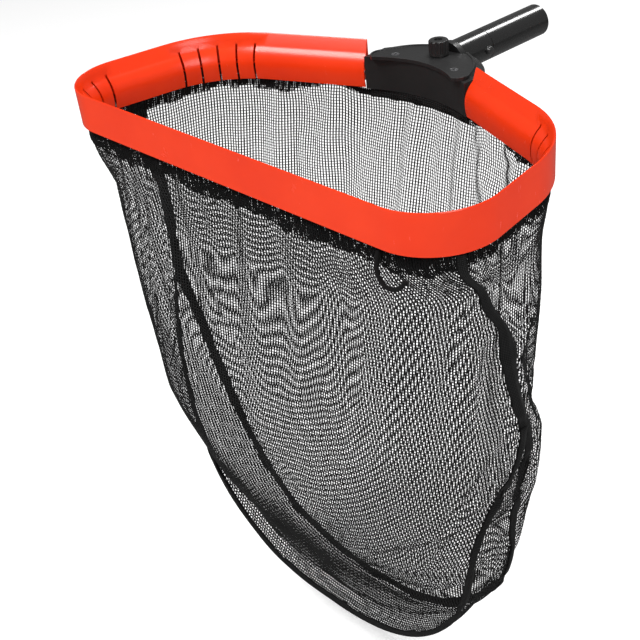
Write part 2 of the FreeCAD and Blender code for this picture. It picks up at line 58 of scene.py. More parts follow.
# Bag: two panels joined by side seams down to SPLIT, and by a gusset from there on
BAG_TOP, BAG_DEPTH, BAG_HALF, BAG_ROUND = -36.1, 471.0, 208.0, 2.5
SPLIT, CORNER, SEAM_Y, GUSSET_HALF = 176.0, 377.0, 56.0, 27.0
SEAM_DRIFT, SEAM_DRIFT_DEPTH = 29.0, 90.0           # the side seams lean back this far over this depth
FRONT_LINE = (-4.0, 1.9, -10.5, 0.92)               # a panel's middle: y at the hem, easing, bow, its span
REAR_LINE = (232.0, 0.96, 11.5, 1.0)
SWAY = 3.0                                          # the bag hangs a little to the left
SHAPE_FROM, SHAPE_SPAN = 3.0, 62.0                  # the net leaves the hem's outline over this depth
EVEN_FROM, FLAT_FROM = 0.72, 0.6                    # shares of the depth where the bottom begins to close
HEM_TURN = 26.0                                     # how far the hem has crept round the tube
YOKE_DIP, YOKE_TUCK = 7.0, 11.0                     # the net's edge under the yoke: lower, and further back
YOKE_SIDE, YOKE_FADE = 84.0, 18.0

# The right side hangs unevenly. Each swelling is its height, the place of its middle and its width.
RIGHT_BACK = (21.0, 205.0, 62.0)
RIGHT_FORWARD = (10.0, 54.0, 28.0)
RIGHT_IN = (12.0, 300.0, 60.0)
RIGHT_REAR_IN = (4.0, 205.0, 62.0)
REAR_BULGE_ACROSS, REAR_BULGE_DOWN = (24.0, 0.86, 0.13), (1.0, 330.0, 85.0)

# Net, tapes and hem
NET_PITCH = 2.7
THREAD_W, CROSS_W, THREAD_T = 0.65, 0.33, 0.32      # half widths of upright and level threads; thickness
WEAVE = 0.14                                        # threads pass over and under by this much
NU, NV, NC = 65, 61, 7                              # cloth grid: columns, rows, gusset columns
FINE = 4                                            # the thread grids are this many times finer
TAPE_THICK = 1.3
SIDE_TAPE_HALF, SIDE_TAPE_LIFT = 5.6, 1.9
GUSSET_TAPE_LIFT = 1.5
SLEEVE_R, SLEEVE_SIDES = 4.55, 14
MOUTH_HALF, MOUTH_TOP, MOUTH_THICK = 57.0, -41.6, 1.4
OUTER_PITCH, INNER_PITCH, INNER_SHORT = 1.9, 2.1, 2.0   # the two layers of doubled net under the hem
CORD_R, CORD_SIDES = 1.75, 10
CORD = ((166, 3, -37), (167.5, -1.8, -44.5), (172, -5.5, -51.5), (180, -8, -55.5), (190, -9, -54.5),
        (197.5, -9, -50), (202, -8.5, -44))

CLOTH_FRAMES = 30
CLOTH = {
    "quality": 7, "mass": 0.06, "air_damping": 3.0, "shrink_min": -0.015,
    "tension_stiffness": 40, "compression_stiffness": 20, "shear_stiffness": 10, "bending_stiffness": 0.35,
    "tension_damping": 8, "compression_damping": 8,
    "use_pressure": True, "uniform_pressure_force": 0.12,
}
SHARP = math.radians(32.0)                          # edges sharper than this are bevelled on the hard parts


def row(p):
    return (np.asarray(p, float) + SHIFT) / 1000.0


def bell(x, height, middle, width):
    return height * math.exp(-((x - middle) / width) ** 2)


def ease(t):
    """Smooth step: 0 below 0, 1 above 1."""
    t = max(0.0, min(1.0, t))
    return t * t * (3 - 2 * t)


def unit(a):
    return a / np.maximum(np.linalg.norm(a, axis=-1, keepdims=True), 1e-9)


def lengths(line):
    """Distance along a line of points, from 0 at its first point."""
    return np.concatenate([[0], np.cumsum(np.linalg.norm(np.diff(line, axis=0), axis=1))])


def smooth_line(a, times=3):
    for _ in range(times):
        b = a.copy()
        b[1:-1] = (a[:-2] + 2 * a[1:-1] + a[2:]) / 4
        a = b
    return a


# ---------------------------------------------------------------- plan path

def rot(d, a):
    c, s = math.cos(a), math.sin(a)
    return np.array([d[0] * c - d[1] * s, d[0] * s + d[1] * c])


def left(d):
    return np.array([-d[1], d[0]])


def outline(cut, n):
    """Lines and arcs of the outline moved inwards by n, from the left end at the yoke to the right one."""
    pts = np.array([(-TAIL_HALF, TAIL_Y), (-BACK_HALF, BACK_Y), (-FRONT_HALF, 0), (FRONT_HALF, 0),
                    (BACK_HALF, BACK_Y), (TAIL_HALF, TAIL_Y)], float)
    radii = [0, BACK_R, FRONT_R, FRONT_R, BACK_R, 0]
    dirs = [(pts[i + 1] - pts[i]) / np.linalg.norm(pts[i + 1] - pts[i]) for i in range(5)]
    base = [pts[i] + left(dirs[i]) * n for i in range(5)]
    corners = []
    for i in range(4):
        m = np.array([dirs[i], -dirs[i + 1]]).T
        corners.append(base[i] + dirs[i] * np.linalg.solve(m, base[i + 1] - base[i])[0])
    t = (corners[0][0] + cut) / (corners[0][0] - base[0][0])
    start = corners[0] + (base[0] - corners[0]) * t
    nodes = [start] + corners + [np.array([-start[0], start[1]])]
    pieces, here = [], start
    for i in range(1, 5):
        turn = math.acos(np.clip(dirs[i - 1] @ dirs[i], -1, 1))
        r = radii[i] - n
        reach = r * math.tan(turn / 2)
        t_in = nodes[i] - dirs[i - 1] * reach
        pieces.append((np.linalg.norm(t_in - here), here, dirs[i - 1], None))
        pieces.append((turn * r, t_in, dirs[i - 1], r))
        here = nodes[i] + dirs[i] * reach
    pieces.append((np.linalg.norm(nodes[5] - here), here, dirs[4], None))
    return pieces


def along(pieces, s):
    """Plan point and direction at distance s."""
    for length, p, d, r in pieces:
        if s <= length:
            break
        s -= length
    else:
        s += length
    if r is None:
        return p + d * s, d
    centre = p + left(d) * r
    return centre + rot(p - centre, s / r), rot(d, s / r)


def total(pieces):
    return sum(p[0] for p in pieces)


# ---------------------------------------------------------------- bag shape at rest

def edge_half(depth):
    if depth <= SPLIT:
        return BAG_HALF
    s = min(1.0, (depth - SPLIT) / (BAG_DEPTH - SPLIT))
    return BAG_HALF * (1 - s ** BAG_ROUND) ** (1 / BAG_ROUND)


def spread(depth):
    if depth <= SPLIT:
        return 0.0
    s = min(1.0, (depth - SPLIT) / (BAG_DEPTH - SPLIT))
    return GUSSET_HALF * (1 - (1 - s) ** BAG_ROUND)


def seam_y(depth):
    low = max(0.0, depth / BAG_DEPTH - 0.4)
    return SEAM_Y + SEAM_DRIFT * min(1.0, depth / SEAM_DRIFT_DEPTH) + 4.0 * low


HEM_PATH = outline(HEM_CUT, TUBE_N)
HEM_LEN = total(HEM_PATH)


def seam_station():
    lo, hi = 0.0, HEM_LEN / 2
    for _ in range(40):
        mid = (lo + hi) / 2
        if along(HEM_PATH, mid)[0][1] > SEAM_Y:
            lo = mid
        else:
            hi = mid
    return lo


SEAM_S = seam_station()
LEFT_S, RIGHT_S = SEAM_S - HEM_TURN, HEM_LEN - SEAM_S - HEM_TURN


def hem_point(u, face):
    """Where the net's column u leaves the hem; the whole hem has crept a little way round the tube."""
    if face < 0:
        p = along(HEM_PATH, LEFT_S + (RIGHT_S - LEFT_S) * (u + 1) / 2)[0]
        return np.array([p[0], p[1], BAG_TOP])
    near = LEFT_S if u < 0 else HEM_LEN - RIGHT_S
    reach = near + HEM_CUT
    s = (1 - abs(u)) * reach
    if s <= near:
        p = along(HEM_PATH, LEFT_S - s if u < 0 else RIGHT_S + s)[0]
        return np.array([p[0], p[1], BAG_TOP])
    x = reach - s
    y = along(HEM_PATH, 0.0)[0][1] + YOKE_TUCK * (1 - (x / HEM_CUT) ** 2)
    return np.array([x * (1.0 if u > 0 else -1.0), y, BAG_TOP])


def mid_y(depth, face):
    """Profile of a panel's middle column: face is -1 for the front panel and 1 for the rear one."""
    s = depth / BAG_DEPTH
    end = seam_y(BAG_DEPTH) + face * GUSSET_HALF
    top, power, bow, span = FRONT_LINE if face < 0 else REAR_LINE
    return top + (end - top) * s ** power + bow * math.sin(math.pi * s * span)


def panel_point(u, v, face):
    """Point of a panel at rest: u from -1 to 1 across it, v from 0 at the hem to 1 at the bottom."""
    edge_depth, mid_depth = CORNER * v, BAG_DEPTH * v
    half = edge_half(edge_depth)
    edge_y = seam_y(edge_depth) + face * spread(edge_depth)
    x = half * math.sin(u * math.pi / 2)
    if v > EVEN_FROM:
        b = (v - EVEN_FROM) / (1 - EVEN_FROM)
        x = x * (1 - b) + half * u * b
    share = min(1.0, abs(x / half))
    depth = edge_depth + (mid_depth - edge_depth) * (1 - share ** 2)
    if v > 0.995:
        depth = SPLIT + (BAG_DEPTH - SPLIT) * (1 - (abs(x) / BAG_HALF) ** BAG_ROUND) ** (1 / BAG_ROUND)
    power = 2.6 if face < 0 else 2.3 + 0.5 * v
    y = edge_y + (mid_y(mid_depth, face) - edge_y) * (1 - share ** power) ** (1 / power)
    if v > FLAT_FROM:
        flat = seam_y(depth) + face * spread(depth)
        w = ((v - FLAT_FROM) / (1 - FLAT_FROM)) ** 2
        y = y * (1 - w) + flat * w
    if x > 0:
        # the right seam hangs further back about the split and runs in below it
        y += share ** (5 if face < 0 else 9) * (bell(depth, *RIGHT_BACK) - bell(depth, *RIGHT_FORWARD))
        x -= share ** 5 * (bell(depth, *RIGHT_IN) + (0.0 if face < 0 else bell(depth, *RIGHT_REAR_IN)))
        if face > 0:
            y += bell(share, *REAR_BULGE_ACROSS) * bell(depth, *REAR_BULGE_DOWN)
    pull = ease((mid_depth - SHAPE_FROM) / SHAPE_SPAN)
    top = hem_point(u, face)
    dip = YOKE_DIP * ease((YOKE_SIDE - abs(top[0])) / YOKE_FADE) if face > 0 else 0.0
    top = top - np.array([0, 0, mid_depth + dip])
    return top * (1 - pull) + np.array([x - SWAY, y, BAG_TOP - depth]) * pull


def spaced(count):
    """Column positions from -1 to 1, closer together near the seams."""
    t = np.linspace(-1, 1, count)
    return np.sin(t * math.pi / 2) * 0.35 + t * 0.65


def rest_grids():
    us, vs = spaced(NU), np.linspace(0, 1, NV)
    front = np.array([[panel_point(u, v, -1) for u in us] for v in vs])
    rear = np.array([[panel_point(u, v, 1) for u in us] for v in vs])
    return front, rear


def border(grid, first):
    """The panel's edge from row `first` of the left column, along the bottom row, up the right column."""
    return np.concatenate([grid[first:-1, 0], grid[-1, :], grid[first:-1, -1][::-1]])


# ---------------------------------------------------------------- meshes

def mesh_object(name, verts, faces, uvs=None):
    """Smooth-shaded object; faces is a list of vertex lists, or an array with one face on each row."""
    mesh = bpy.data.meshes.new(name)
    mesh.vertices.add(len(verts))
    mesh.vertices.foreach_set("co", np.asarray(verts, np.float32).ravel())
    if isinstance(faces, list):
        sizes = np.array([len(f) for f in faces], np.int32)
        flat = np.fromiter((i for f in faces for i in f), np.int32)
    else:
        sizes = np.full(len(faces), faces.shape[1], np.int32)
        flat = faces.astype(np.int32).ravel()
    mesh.loops.add(len(flat))
    mesh.loops.foreach_set("vertex_index", flat)
    mesh.polygons.add(len(sizes))
    starts = np.concatenate([[0], np.cumsum(sizes)[:-1]]).astype(np.int32)
    mesh.polygons.foreach_set("loop_start", starts)
    mesh.polygons.foreach_set("loop_total", sizes)
    mesh.polygons.foreach_set("use_smooth", np.full(len(sizes), True))
    mesh.update(calc_edges=True)
    if uvs is not None:
        layer = mesh.uv_layers.new(name="map")
        layer.data.foreach_set("uv", np.asarray(uvs, np.float32)[flat].ravel())
    mesh.validate()
    obj = bpy.data.objects.new(name, mesh)
    bpy.context.scene.collection.objects.link(obj)
    return obj


def normals(grid):
    du = np.gradient(grid, axis=1)
    dv = np.gradient(grid, axis=0)
    return unit(np.cross(dv, du))


def ribbon(grid, thickness, outward):
    """Closed thin sheet on a grid; outward gives the side that thickens. Returns verts, faces, uv."""
    rows, cols = grid.shape[:2]
    top = grid + outward * thickness
    verts = np.concatenate([grid.reshape(-1, 3), top.reshape(-1, 3)])
    idx = np.arange(rows * cols).reshape(rows, cols)
    a, b, c, d = idx[:-1, :-1].ravel(), idx[:-1, 1:].ravel(), idx[1:, 1:].ravel(), idx[1:, :-1].ravel()
    k = rows * cols
    faces = [np.stack([a, b, c, d], 1), np.stack([a + k, d + k, c + k, b + k], 1)]
    for line in (idx[0, ::-1], idx[:, 0], idx[-1, :], idx[::-1, -1]):
        p, q = line[:-1], line[1:]
        faces.append(np.stack([p, p + k, q + k, q], 1)[:, ::-1])
    uv = np.stack(np.meshgrid(lengths(grid[rows // 2]), lengths(grid[:, cols // 2])), -1).reshape(-1, 2)
    return verts, np.concatenate(faces), np.concatenate([uv, uv])


def loop_sweep(frames):
    """Closed skin over a list of equal rings of points. Returns verts, faces as a list."""
    rings, k = len(frames), len(frames[0])
    verts = np.concatenate(frames)
    i = np.arange(rings - 1)[:, None] * k
    j = np.arange(k)[None, :]
    a = (i + j).ravel()
    b = (i + (j + 1) % k).ravel()
    faces = np.stack([a, b, b + k, a + k], 1).tolist()
    faces.append(list(range(k))[::-1])
    faces.append([(rings - 1) * k + m for m in range(k)])
    return verts, faces


def refine(grid, factor):
    """Catmull-Rom refinement of a grid along both axes."""
    for axis in (0, 1):
        g = np.moveaxis(grid, axis, 0)
        n = len(g)
        t = np.linspace(0, n - 1, (n - 1) * factor + 1)
        i = np.minimum(t.astype(int), n - 2)
        f = (t - i).reshape(-1, *([1] * (g.ndim - 1)))
        p1, p2 = g[i], g[i + 1]
        p0 = np.where((i > 0).reshape(f.shape), g[np.maximum(i - 1, 0)], 2 * p1 - p2)
        p3 = np.where((i < n - 2).reshape(f.shape), g[np.minimum(i + 2, n - 1)], 2 * p2 - p1)
        out = 0.5 * (2 * p1 + (p2 - p0) * f + (2 * p0 - 5 * p1 + 4 * p2 - p3) * f ** 2
                     + (3 * p1 - p0 - 3 * p2 + p3) * f ** 3)
        grid = np.moveaxis(out, 0, axis)
    return grid


# ---------------------------------------------------------------- cloth

SPLIT_ROW = int(round(SPLIT / CORNER * (NV - 1)))


def bag_mesh(front, rear):
    """One welded coarse mesh of the two panels and the gusset, and how its vertices map to the grids."""
    verts = list(front.reshape(-1, 3))
    front_id = np.arange(NU * NV).reshape(NV, NU)
    rear_id = np.zeros((NV, NU), int)
    for i in range(NV):
        for j in range(NU):
            if j in (0, NU - 1) and i <= SPLIT_ROW:
                rear_id[i, j] = front_id[i, j]
            else:
                rear_id[i, j] = len(verts)
                verts.append(rear[i, j])
    fb = border(front_id[..., None], SPLIT_ROW)[:, 0]
    rb = border(rear_id[..., None], SPLIT_ROW)[:, 0]
    gusset_id = np.zeros((len(fb), NC), int)
    for b in range(len(fb)):
        for c in range(NC):
            t = c / (NC - 1)
            if c == 0:
                gusset_id[b, c] = fb[b]
            elif c == NC - 1:
                gusset_id[b, c] = rb[b]
            elif fb[b] == rb[b]:
                gusset_id[b, c] = fb[b]
            else:
                gusset_id[b, c] = len(verts)
                verts.append(np.array(verts[fb[b]]) * (1 - t) + np.array(verts[rb[b]]) * t)
    faces = []
    for ids in (front_id, rear_id, gusset_id):
        for i in range(ids.shape[0] - 1):
            for j in range(ids.shape[1] - 1):
                quad = [ids[i, j], ids[i, j + 1], ids[i + 1, j + 1], ids[i + 1, j]]
                ring = [int(q) for n, q in enumerate(quad) if q != quad[n - 1]]
                if len(set(ring)) >= 3:
                    faces.append(ring)
    return np.array(verts), faces, front_id, rear_id, gusset_id


def settle(verts, faces, held):
    """Let the net settle as cloth between its held vertices, and return where its vertices end."""
    obj = mesh_object("cloth_run", row(verts), faces)
    obj.vertex_groups.new(name="held").add(held, 1.0, "REPLACE")
    scene = bpy.context.scene
    scene.gravity = (HANG * 9.81).tolist()
    mod = obj.modifiers.new("cloth", "CLOTH")
    for key, value in CLOTH.items():
        setattr(mod.settings, key, value)
    mod.settings.vertex_group_mass = "held"
    mod.collision_settings.use_collision = False
    mod.collision_settings.use_self_collision = False
    mod.point_cache.frame_start = 1
    mod.point_cache.frame_end = CLOTH_FRAMES
    scene.frame_start, scene.frame_end = 1, CLOTH_FRAMES
    for f in range(1, CLOTH_FRAMES + 1):
        scene.frame_set(f)
    dg = bpy.context.evaluated_depsgraph_get()
    out = np.zeros(len(verts) * 3, np.float32)
    obj.evaluated_get(dg).data.vertices.foreach_get("co", out)
    bpy.data.objects.remove(obj)
    scene.frame_set(1)
    return out.reshape(-1, 3).astype(float) * 1000.0 - SHIFT


def ruffle(p, n):
    """Small fixed wrinkles, mostly upright, added along the surface normal."""
    x, y, z = p[..., 0], p[..., 1], p[..., 2]
    w = np.sin(x / 17.0 + 0.6 * np.sin(z / 60.0)) * 0.45
    w = w + np.sin(x / 8.3 + y / 11.0 + 1.3 * np.sin(z / 41.0)) * 0.25
    w = w + np.sin(z / 23.0 + x / 37.0) * 0.35
    fade = np.clip((BAG_TOP - z) / 40.0, 0, 1)
    return p + n * (w * fade)[..., None]


front_rest, rear_rest = rest_grids()
bag_verts, bag_faces, front_id, rear_id, gusset_id = bag_mesh(front_rest, rear_rest)
# the hem holds the top row and the bound seams hold the bag's outline; the net hangs and puckers between
held = set()
for ids in (front_id, rear_id):
    held |= set(ids[0]) | set(ids[:, 0]) | set(ids[:, -1]) | set(ids[-1])
settled = settle(bag_verts, bag_faces, [int(i) for i in held])


def shaped(ids, sign):
    g = refine(settled[ids], FINE)
    return ruffle(g, normals(g) * sign)


front_grid = shaped(front_id, 1.0)
rear_grid = shaped(rear_id, -1.0)
gusset_grid = refine(settled[gusset_id], FINE)


# ---------------------------------------------------------------- net threads

def lattice(rest, posed, normal, pitch, flat_rows, half):
    """Knots of a square net laid on the cloth, as grids of places and normals, nan where there is no net.

    The knots are spaced on the cloth at rest and placed on the posed one. With flat_rows the spacing
    across is measured in plan, so that the net's upright threads hang straight. half is -1 or 1 for the
    left or right half of the width, and 0 for all of it.
    """
    step = np.diff(rest, axis=1)
    if flat_rows:
        step = step[..., :2]
    width = np.concatenate([np.zeros((len(rest), 1)), np.cumsum(np.linalg.norm(step, axis=2), axis=1)], 1)
    mid = rest.shape[1] // 2
    width = width - width[:, mid:mid + 1]
    lo, hi = width.min(), width.max()
    columns = np.arange(math.ceil(lo / pitch), math.floor(hi / pitch) + 1)
    columns = columns[columns * half >= 0]
    rows, cols = rest.shape[:2]
    i = np.arange(rows)
    knots = []
    for k in columns:
        s = k * pitch
        u = np.array([np.interp(s, line, np.arange(cols)) for line in width])
        inside = (s > width[:, 0]) & (s < width[:, -1])
        j = np.minimum(u.astype(int), cols - 2)
        f = (u - j)[:, None]
        rest_line, line, up = (g[i, j] * (1 - f) + g[i, j + 1] * f for g in (rest, posed, normal))
        t = lengths(rest_line)
        down = np.arange(0.4, t[-1] / pitch, 1.0) * pitch
        v = np.interp(down, t, i)
        a = np.minimum(v.astype(int), rows - 2)
        f = (v - a)[:, None]
        ok = (inside[a] & inside[a + 1])[:, None]
        place = line[a] * (1 - f) + line[a + 1] * f
        knots.append((np.where(ok, place, np.nan), up[a] * (1 - f) + up[a + 1] * f))
    longest = max(len(place) for place, _ in knots)
    pos = np.full((len(columns), longest, 3), np.nan)
    nor = np.zeros((len(columns), longest, 3))
    for n, (place, up) in enumerate(knots):
        pos[n, :len(place)] = place
        nor[n, :len(up)] = up
    return pos, nor


def threads(pos, nor):
    """Three-sided threads along both directions of the knot lattice, each capped."""
    verts, faces = [], []
    base = 0
    for direction in (0, 1):
        p = pos if direction == 0 else np.swapaxes(pos, 0, 1)
        n = nor if direction == 0 else np.swapaxes(nor, 0, 1)
        for r in range(len(p)):
            ok = ~np.isnan(p[r, :, 0])
            edges = np.flatnonzero(np.diff(np.concatenate([[0], ok.astype(int), [0]])))
            for s, e in zip(edges[::2], edges[1::2]):
                if e - s < 2:
                    continue
                line, up = p[r, s:e], unit(n[r, s:e])
                side = unit(np.cross(np.gradient(line, axis=0), up))
                over = (((np.arange(s, e) + r) % 2) * 2 - 1) * (WEAVE if direction == 0 else -WEAVE)
                line = line + up * over[:, None]
                w = (THREAD_W, CROSS_W)[direction] * (0.92 + 0.16 * rng.random((e - s, 1)))
                ring = np.stack([line - side * w - up * THREAD_T * 0.35,
                                 line + side * w - up * THREAD_T * 0.35, line + up * THREAD_T * 0.65], 1)
                verts.append(ring.reshape(-1, 3))
                q = base + np.arange(e - s - 1) * 3
                for x, y in ((0, 1), (1, 2), (2, 0)):
                    faces.append(np.stack([q + x, q + 3 + x, q + 3 + y], 1))
                    faces.append(np.stack([q + x, q + 3 + y, q + y], 1))
                last = base + (e - s - 1) * 3
                faces.append(np.array([[base, base + 1, base + 2], [last + 2, last + 1, last]]))
                base += (e - s) * 3
    return np.concatenate(verts), np.concatenate(faces)


front_fine = refine(front_rest, FINE)
rear_fine = refine(rear_rest, FINE)
gusset_fine = refine(bag_verts[gusset_id], FINE)
nets = []
for name, node, rest, posed, sign, flat_rows, half in (
        ("front_net_left", "front_net_panel", front_fine, front_grid, 1.0, True, -1),
        ("front_net_right", "front_net_panel", front_fine, front_grid, 1.0, True, 1),
        ("rear_net_left", "rear_net_panel", rear_fine, rear_grid, -1.0, True, -1),
        ("rear_net_right", "rear_net_panel", rear_fine, rear_grid, -1.0, True, 1),
        ("gusset_net", "bottom_gusset", gusset_fine, gusset_grid, 1.0, False, 0)):
    v, f = threads(*lattice(rest, posed, normals(posed) * sign, NET_PITCH, flat_rows, half))
    obj = mesh_object(name, row(v), f)
    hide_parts(node)
    nets.append(obj)


# ---------------------------------------------------------------- binding tapes

def tape_rows(line, in_a, in_b, out, half, lift, swell=1.0):
    """Five points across a seam: in_a and in_b point along the cloth on each side, out away from it."""
    s = lengths(line)
    pucker = (0.55 * np.sin(s / 3.1) + 0.45 * np.sin(s / 5.3 + 1.0))[:, None]
    edge = (1.0 + 0.10 * np.sin(s / 9.0) + 0.06 * np.sin(s / 4.1))[:, None] * np.reshape(swell, (-1, 1))
    rows = [line + in_a * half * edge + out * (lift * 0.55 + 0.5 * pucker),
            line + in_a * half * 0.5 + out * (lift * 0.9 + 0.2 * pucker),
            line + out * (lift * 1.15),
            line + in_b * half * 0.5 + out * (lift * 0.9 - 0.2 * pucker),
            line + in_b * half * edge + out * (lift * 0.55 - 0.5 * pucker)]
    return np.stack(rows, 1)


def walk_in(grid, col, step):
    """Unit vector into the panel from an edge column."""
    return unit(grid[:, col + step * 6] - grid[:, col])


def tape_piece(name, node, rows, out):
    v, f, uv = ribbon(refine(rows, 2), TAPE_THICK, refine(np.repeat(out[:, None], rows.shape[1], 1), 2))
    obj = mesh_object(name, row(v), f, uv / 1000.0)
    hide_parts(node)
    return obj


FIRST = SPLIT_ROW * FINE
STOP = FIRST + 3 * FINE                             # the side tapes run a little past the split
tapes = []
for name, node, col, step in (("left_tape", "left_seam_tape", 0, 1),
                              ("right_tape", "right_seam_tape", -1, -1)):
    line = smooth_line((front_grid[:STOP, col] + rear_grid[:STOP, col]) / 2)[::2]
    in_f = smooth_line(walk_in(front_grid, col, step)[:STOP], 8)
    in_r = smooth_line(walk_in(rear_grid, col, step)[:STOP], 8)
    out = smooth_line(unit(-(in_f + in_r) * 0.6 - np.array([step, 0, 0])), 8)[::2]
    # the right tape is pulled narrow near the hem and widens below it
    down = np.linspace(0, 1, STOP)[::2]
    swell = 1.0 if col == 0 else 0.55 + 0.65 * np.clip((down - 0.15) / 0.4, 0, 1)
    rows = tape_rows(line, in_f[::2], in_r[::2], out, SIDE_TAPE_HALF, SIDE_TAPE_LIFT, swell)
    tapes.append(tape_piece(name, node, rows, out))


def seam_frame(line, panel_side, gusset_side):
    """Directions across a seam towards each of its two sides, and away from the cloth."""
    t = unit(np.gradient(line, axis=0))
    a = unit(panel_side - line)
    b = unit(gusset_side - line)
    a = unit(a - t * np.sum(a * t, 1, keepdims=True))
    b = unit(b - t * np.sum(b * t, 1, keepdims=True))
    return smooth_line(a, 10), smooth_line(b, 10), smooth_line(unit(-(a + b)), 10)


def inner_border(grid, first, depth):
    """Points a little way into the panel from each border vertex."""
    rows, cols = grid.shape[:2]
    pts = []
    for i in range(first, rows - 1):
        pts.append(grid[max(0, i - depth // 3), depth])
    for j in range(cols):
        pts.append(grid[rows - 1 - depth, min(max(j, depth // 2), cols - 1 - depth // 2)])
    for i in range(rows - 2, first - 1, -1):
        pts.append(grid[max(0, i - depth // 3), cols - 1 - depth])
    return np.array(pts)


for name, node, grid, column, half in (("front_seam_tape", "front_gusset_tape", front_grid, 3, 3.6),
                                       ("rear_seam_tape", "rear_gusset_tape", rear_grid, -4, 4.6)):
    line, inner = border(grid, FIRST), inner_border(grid, FIRST, 8)
    n = min(len(line), len(gusset_grid))
    line, inner, gusset = line[:n], inner[:n], gusset_grid[:n, column]
    a, b, out = seam_frame(line, inner, gusset)
    # near the split the gusset has no width, so the tape's inner half lies along the panel instead
    wide = np.clip(np.linalg.norm(gusset - line, axis=1) / 6.0, 0, 1)[:, None]
    b = unit(b * wide + unit(out * 0.3 - a) * (1 - wide))
    away = line - np.array([0.0, 0.0, -250.0])
    out = unit(out * wide + unit(away * np.array([1, 0, 0.3])) * (1 - wide))
    up = smooth_line(out, 10)
    sel = slice(6, n - 6, 3)
    rows = tape_rows(smooth_line(line)[sel], a[sel], b[sel], up[sel], half, GUSSET_TAPE_LIFT)
    tapes.append(tape_piece(name, node, rows, out[sel]))


# ---------------------------------------------------------------- hem

def sleeve_ring(s):
    """Section of the hem's sleeve round the tube, a little loose and uneven."""
    p, d = along(HEM_PATH, s)
    inward = left(d)
    ring = []
    for a in np.linspace(0, 2 * math.pi, SLEEVE_SIDES, endpoint=False):
        slack = 0.25 if math.sin(a) < -0.6 else 0.0
        r = SLEEVE_R + 0.12 * math.sin(s / 5.0 + 2 * a) * math.sin(s / 17.0) + slack
        q = p + inward * r * math.cos(a)
        ring.append((q[0], q[1], TUBE_Z + r * math.sin(a)))
    return np.array(ring)


def skirt(rest, posed, sign, cols, depth, lift, pitch):
    """Doubled net hanging below the sleeve: a second, closer net over the panel's top rows."""
    rows = 2 + int(depth / (CORNER / ((NV - 1) * FINE)))
    cut = (slice(None, rows), slice(*cols))
    n = (normals(posed) * sign)[cut]
    place = np.arange(*cols)
    ripple = np.sin(place / 3.1) * 0.35 + np.sin(place / 1.3) * 0.2
    p = posed[cut] + n * (lift + ripple[None, :, None] * np.linspace(0, 1, rows)[:, None, None])
    pos, nor = lattice(rest[cut], p, n, pitch, True, 0)
    k = np.arange(len(pos))
    edge = depth * (0.88 + 0.12 * np.sin(k / 9.0) + 0.08 * np.sin(k / 2.3))
    if sign < 0:
        # at the rear the doubled net is shorter beside the yoke
        across = np.nanmax(np.abs(pos[:, :, 0]), axis=1)
        edge *= 0.45 + 0.55 * np.clip((across - 95.0) / 45.0, 0, 1)
    hidden = np.arange(pos.shape[1])[None, :] * pitch > edge[:, None]
    pos[hidden] = np.nan
    return threads(pos, nor)


def join(parts):
    verts, faces, base = [], [], 0
    for v, f in parts:
        verts.append(v)
        faces += [[int(i) + base for i in face] for face in f]
        base += len(v)
    return np.concatenate(verts), faces


def hem_piece(name, node, verts, faces, uvs=None):
    obj = mesh_object(name, row(verts), faces, uvs)
    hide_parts(node)
    hems.append(obj)


COLS = front_grid.shape[1]
LEFT_COLS, ALL_COLS, RIGHT_COLS = (0, COLS // 2), (0, COLS), (COLS // 2, COLS)
FRONT, REAR = (front_fine, front_grid, 1.0), (rear_fine, rear_grid, -1.0)
YOKE_GAP, HEM_GAP = 0.3, 0.4                        # small gaps at the sleeves' ends
hems = []
for name, node, start, end, panel, cols, depth, lift, inner_lift in (
        ("left_rear_sleeve", "left_rear_hem", YOKE_GAP, LEFT_S - HEM_GAP,
         REAR, LEFT_COLS, 16.0, 0.9, -0.9),
        ("front_sleeve", "front_hem", LEFT_S + HEM_GAP, RIGHT_S - HEM_GAP,
         FRONT, ALL_COLS, 17.0, 1.2, -1.1),
        ("right_rear_sleeve", "right_rear_hem", RIGHT_S + HEM_GAP, HEM_LEN - YOKE_GAP,
         REAR, RIGHT_COLS, 13.0, 0.9, -0.9)):
    sleeve = loop_sweep([sleeve_ring(s) for s in np.arange(start, end, 2.0)])
    outer = skirt(*panel, cols, depth, lift, OUTER_PITCH)
    inner = skirt(*panel, cols, depth - INNER_SHORT, inner_lift, INNER_PITCH)
    hem_piece(name, node, *join([sleeve, outer, inner]))


def mouth_strip():
    """Bound edge of the rear panel under the yoke, a little wavy along its lower edge."""
    top = along(HEM_PATH, 0.0)[0][1] - 0.3
    strip = []
    for x in np.linspace(-MOUTH_HALF, MOUTH_HALF, 58):
        y = top + YOKE_TUCK * (1 - (x / HEM_CUT) ** 2)
        strip.append([(x, y + 0.3 * math.sin(x / 4.0) * (k / 4), MOUTH_TOP - 2.1 * k) for k in range(5)])
    strip = np.array(strip)
    return ribbon(strip, MOUTH_THICK, np.broadcast_to(np.array([0, -1.0, 0]), strip.shape))


def cord_loop():
    """Slack of the drawcord: a round cord along the smoothed line through the CORD points."""
    t = np.linspace(0, len(CORD) - 1, 61)
    line = np.stack([np.interp(t, np.arange(len(CORD)), axis) for axis in zip(*CORD)], 1)
    line = smooth_line(line, 40)
    frames = []
    for p, d in zip(line, unit(np.gradient(line, axis=0))):
        a = unit(np.cross(d, np.array([0.0, 1.0, 0.0])))
        b = np.cross(d, a)
        frames.append(np.array([p + CORD_R * (a * math.cos(q) + b * math.sin(q))
                                for q in np.linspace(0, 2 * math.pi, CORD_SIDES, endpoint=False)]))
    return loop_sweep(frames)


v, f, uv = mouth_strip()
hem_piece("mouth_edge", "mouth_binding", v, f, uv / 1000.0)
hem_piece("cord_tail", "hem_cord", *cord_loop())


# ---------------------------------------------------------------- hard parts

